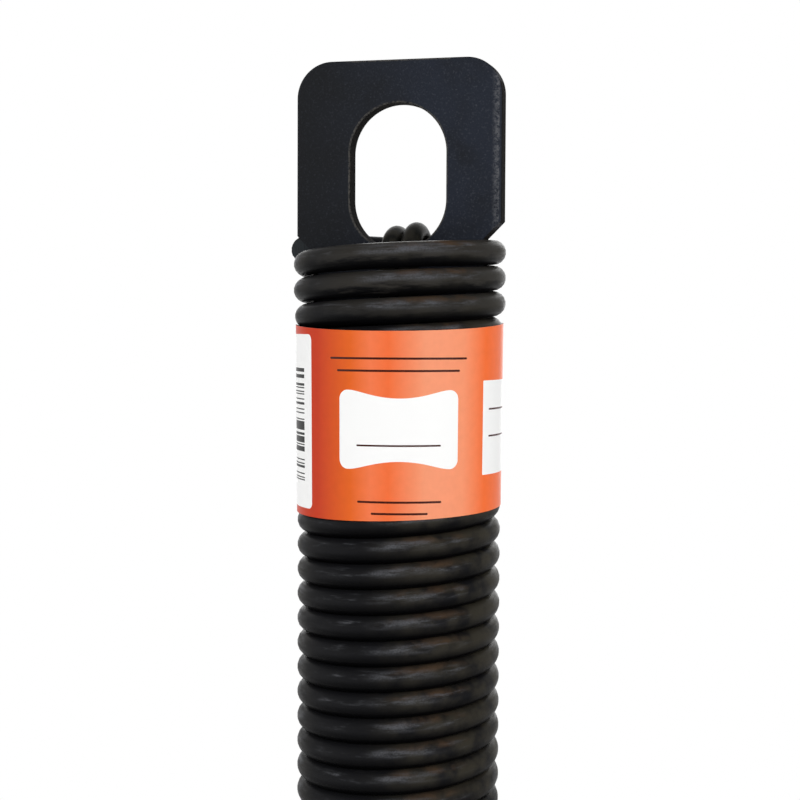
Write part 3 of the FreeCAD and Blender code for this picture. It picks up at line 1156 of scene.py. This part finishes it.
@dataclass
class WrapLabel:
    """The paper label: a flat sheet rolled round the turns below the upper plug, lapped at the back."""

    top: float = 276.677 * MM
    height: float = 54.5 * MM
    top_radius: float = 30.203 * MM
    low_radius: float = 29.755 * MM
    thick: float = 0.1 * MM
    # Edges that turn by more than this are sharp
    sharp_angle: float = math.radians(40)
    # The lower edge is cut askew: how far it rises at the middle, and its slope across
    skew_rise: float = 2 * MM
    skew_slope: float = 2 / 54.4
    # Both edges bow up towards the sides, the lower one less, and the top one slopes a little
    top_bow: float = 2.1 * MM
    top_slope: float = 0.011
    low_bow: float = 1.05 * MM
    bow_softness: float = 0.01
    # The lap, the share of it that climbs onto the sheet below, and how far it climbs, in thicknesses
    lap: float = math.radians(24)
    lap_climb: float = 1 / 3
    lap_rise: float = 1.1
    across: int = 192
    down: int = 12

    @property
    def sheet_angle(self) -> float:
        """The angle that the sheet takes up, its lap included."""
        return FULL_TURN + self.lap

    @property
    def sheet_width(self) -> float:
        """The sheet's length round the spring, halfway down."""
        return self.sheet_angle * (self.top_radius + self.low_radius) / 2

    def build(self) -> bpy.types.Object:
        """Models the label as a flat grid, rolls it up and gives it its thickness.

        Returns:
            The label, standing in for its CAD node.
        """
        bm = bmesh.new()
        flat = bm.loops.layers.uv.new(FLAT)
        bmesh.ops.create_grid(bm, x_segments=self.across, y_segments=self.down, size=0.5, calc_uvs=True)
        for vertex in bm.verts:
            vertex.co = self.rolled(vertex.co.x + 0.5, 0.5 - vertex.co.y)
        # The print keeps its true height on the bowed sheet
        for loop in (loop for face in bm.faces for loop in face.loops):
            loop[flat].uv.y = 1 - (self.top - loop.vert.co.z) / self.height
        bmesh.ops.recalc_face_normals(bm, faces=bm.faces)
        outside = bm.faces[:]
        if outside[0].normal.dot(outside[0].calc_center_median()) < 0:
            bmesh.ops.reverse_faces(bm, faces=outside)
        printed = set(outside)
        bmesh.ops.solidify(bm, geom=outside, thickness=self.thick)
        for face in bm.faces:
            face.material_index = 0 if face in printed else 1
        for edge in bm.edges:
            edge.smooth = edge.calc_face_angle(0) < self.sharp_angle
        piece = finish_piece(bm, "label_sheet")
        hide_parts("wrap_label")
        return piece

    def rolled(self, along: float, depth: float) -> Vector:
        """Where a point of the flat sheet lies once it is rolled.

        Args:
            along: share of the sheet's length.
            depth: share of its height, from the top.

        Returns:
            The place on the label's outer face.
        """
        angle = (along - 0.5) * self.sheet_angle + VIEW_AZIMUTH
        lapped = min(max(along * self.sheet_angle - FULL_TURN, 0) / (self.lap * self.lap_climb), 1)
        radius = self.top_radius + (self.low_radius - self.top_radius) * depth
        radius += lapped * self.lap_rise * self.thick
        x, y = radius * math.sin(angle), -radius * math.cos(angle)
        bow = 1 - math.sqrt(math.cos(angle - VIEW_AZIMUTH) ** 2 + self.bow_softness)
        bottom = self.height - self.skew_rise - self.skew_slope * x - self.low_bow * bow
        rise = self.top_bow * bow + self.top_slope * (x * ACROSS.x + y * ACROSS.y)
        return Vector((x, y, self.top + rise * (1 - depth) - depth * bottom))


@dataclass(frozen=True)
class Lamp:
    """A soft box, placed by where it stands round the spring, in degrees and metres."""

    name: str
    azimuth: float
    elevation: float
    distance: float
    width: float
    height: float
    watts: float

    def hang(self, target: Vector) -> None:
        """Puts the lamp in the scene.

        Args:
            target: the point that it faces.
        """
        light = bpy.data.lights.new(self.name, "AREA")
        light.shape = "RECTANGLE"
        light.size, light.size_y = self.width, self.height
        light.energy = self.watts
        lamp = bpy.data.objects.new(self.name, light)
        azimuth, elevation = math.radians(self.azimuth), math.radians(self.elevation)
        level = math.cos(elevation)
        back = Vector((math.sin(azimuth) * level, -math.cos(azimuth) * level, math.sin(elevation)))
        lamp.location = target + back * self.distance
        lamp.rotation_euler = (-back).to_track_quat("-Z", "Y").to_euler()
        bpy.context.scene.collection.objects.link(lamp)


@dataclass
class Studio:
    """A white studio: pale floor under the hanging spring, soft boxes and the photograph's camera."""

    lamps: tuple[Lamp, ...] = (
        Lamp("key_box", 24, 30, 1.2, 0.36, 0.36, 3.6),
        Lamp("right_box", 60, 3, 1.1, 0.75, 0.9, 6.4),
        Lamp("left_box", -60, 8, 1.2, 1.4, 1.4, 10.4),
        Lamp("back_box", 190, 15, 1.6, 1.2, 1.2, 9.0),
    )
    target: Vector = Vector((0, 0, 0.22))
    ambient: float = 0.2
    floor_paint: str = "f4f4f4"
    floor_radius: float = 1.3
    floor_lift: float = 0.2
    floor_sides: int = 96
    lens: float = 74.7
    sensor: float = 36
    camera_distance: float = 0.484
    camera_height: float = 0.27915
    camera_pitch: float = math.radians(2.7)
    camera_roll: float = math.radians(0.25)
    shift_pixels: float = 0.7

    def build(self, floor_level: float) -> None:
        """Sets up the world, floor, lamps and camera.

        Args:
            floor_level: the height of the floor.
        """
        self.light_world()
        self.lay_floor(floor_level)
        for lamp in self.lamps:
            lamp.hang(self.target)
        self.place_camera()
        bpy.context.scene.view_settings.view_transform = "Standard"

    def light_world(self) -> None:
        """Shows plain white to the eye and in reflections, and lights the scene a little less."""
        world = bpy.data.worlds.new("white_studio")
        bpy.context.scene.world = world
        world.use_nodes = True
        tree = world.node_tree
        tree.nodes.clear()
        path = add_node(tree, "LightPath").outputs
        rays = ("Is Camera Ray", "Is Glossy Ray", "Is Transmission Ray")
        seen = any_mask(tree, (path[ray] for ray in rays))
        strength = add_node(
            tree, "MapRange", {"Value": seen, "To Min": self.ambient, "To Max": 1.0}
        ).outputs["Result"]
        light = add_node(tree, "Background", {"Strength": strength, "Color": WHITE})
        add_node(tree, "OutputWorld", {"Surface": light.outputs["Background"]})

    def lay_floor(self, level: float) -> None:
        """Lays a round pale floor that keeps the spring's shadow.

        Args:
            level: the height of the floor.
        """
        bm = bmesh.new()
        bmesh.ops.create_circle(
            bm,
            cap_ends=True,
            segments=self.floor_sides,
            radius=self.floor_radius,
            matrix=Matrix.Translation((0, 0, level)),
        )
        mesh = bpy.data.meshes.new("floor")
        bm.to_mesh(mesh)
        bm.free()
        floor = bpy.data.objects.new("floor", mesh)
        bpy.context.scene.collection.objects.link(floor)
        material, tree, shader = new_material("matt_white_floor")
        # Paler to the eye alone, so that no more light falls on the spring
        seen = add_node(tree, "LightPath").outputs["Is Camera Ray"]
        lift = add_node(tree, "Math", {0: seen, 1: self.floor_lift}, operation="MULTIPLY").outputs[0]
        fill(tree, shader, {"Base Color": linear(self.floor_paint), "Roughness": 0.9})
        fill(tree, shader, {"Emission Strength": lift, "Emission Color": WHITE})
        dress(floor, material)
        floor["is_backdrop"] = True

    def place_camera(self) -> None:
        """Stands the camera where the photograph was taken from."""
        data = bpy.data.cameras.new("camera")
        data.lens = self.lens
        data.sensor_width = self.sensor
        data.shift_x = self.shift_pixels / PICTURE_PIXELS
        camera = bpy.data.objects.new("camera", data)
        side = -AWAY
        camera.location = side * self.camera_distance + UP * self.camera_height
        forward = -side * math.cos(self.camera_pitch) - UP * math.sin(self.camera_pitch)
        turn = forward.to_track_quat("-Z", "Y").to_matrix() @ Matrix.Rotation(self.camera_roll, 3, "Z")
        camera.rotation_euler = turn.to_euler()
        bpy.context.scene.collection.objects.link(camera)
        bpy.context.scene.camera = camera


def main() -> None:
    """Builds the spring's pieces and finishes round the frame, then the studio."""
    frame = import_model()
    cad_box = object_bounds()
    coil = ExtensionCoil().build()
    dress(coil, OilTemperedWire().make(), ShearedSteel().make())
    log.info("%s: %d faces", coil.name, len(coil.data.polygons))

    wrap = WrapLabel()
    label = wrap.build()
    dress(label, PrintedPaper(wrap.sheet_width / MM, wrap.height / MM).make(), LabelStock().make())
    log.info("%s: %d faces", label.name, len(label.data.polygons))

    plate = BlackedPlate().make()
    for node in ("upper_plug_plate", "lower_plug_plate"):
        dress(frame["nodes"][node], plate)
        log.info("%s: frame solid", node)
    dress(frame["nodes"]["safety_wire"], SafetyWireScale().make())
    log.info("safety_wire: frame solid")

    Studio().build(cad_box[0].z)
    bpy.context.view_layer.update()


if __name__ == "__main__":
    logging.basicConfig(level=logging.INFO, format="%(name)s: %(message)s")
    main()
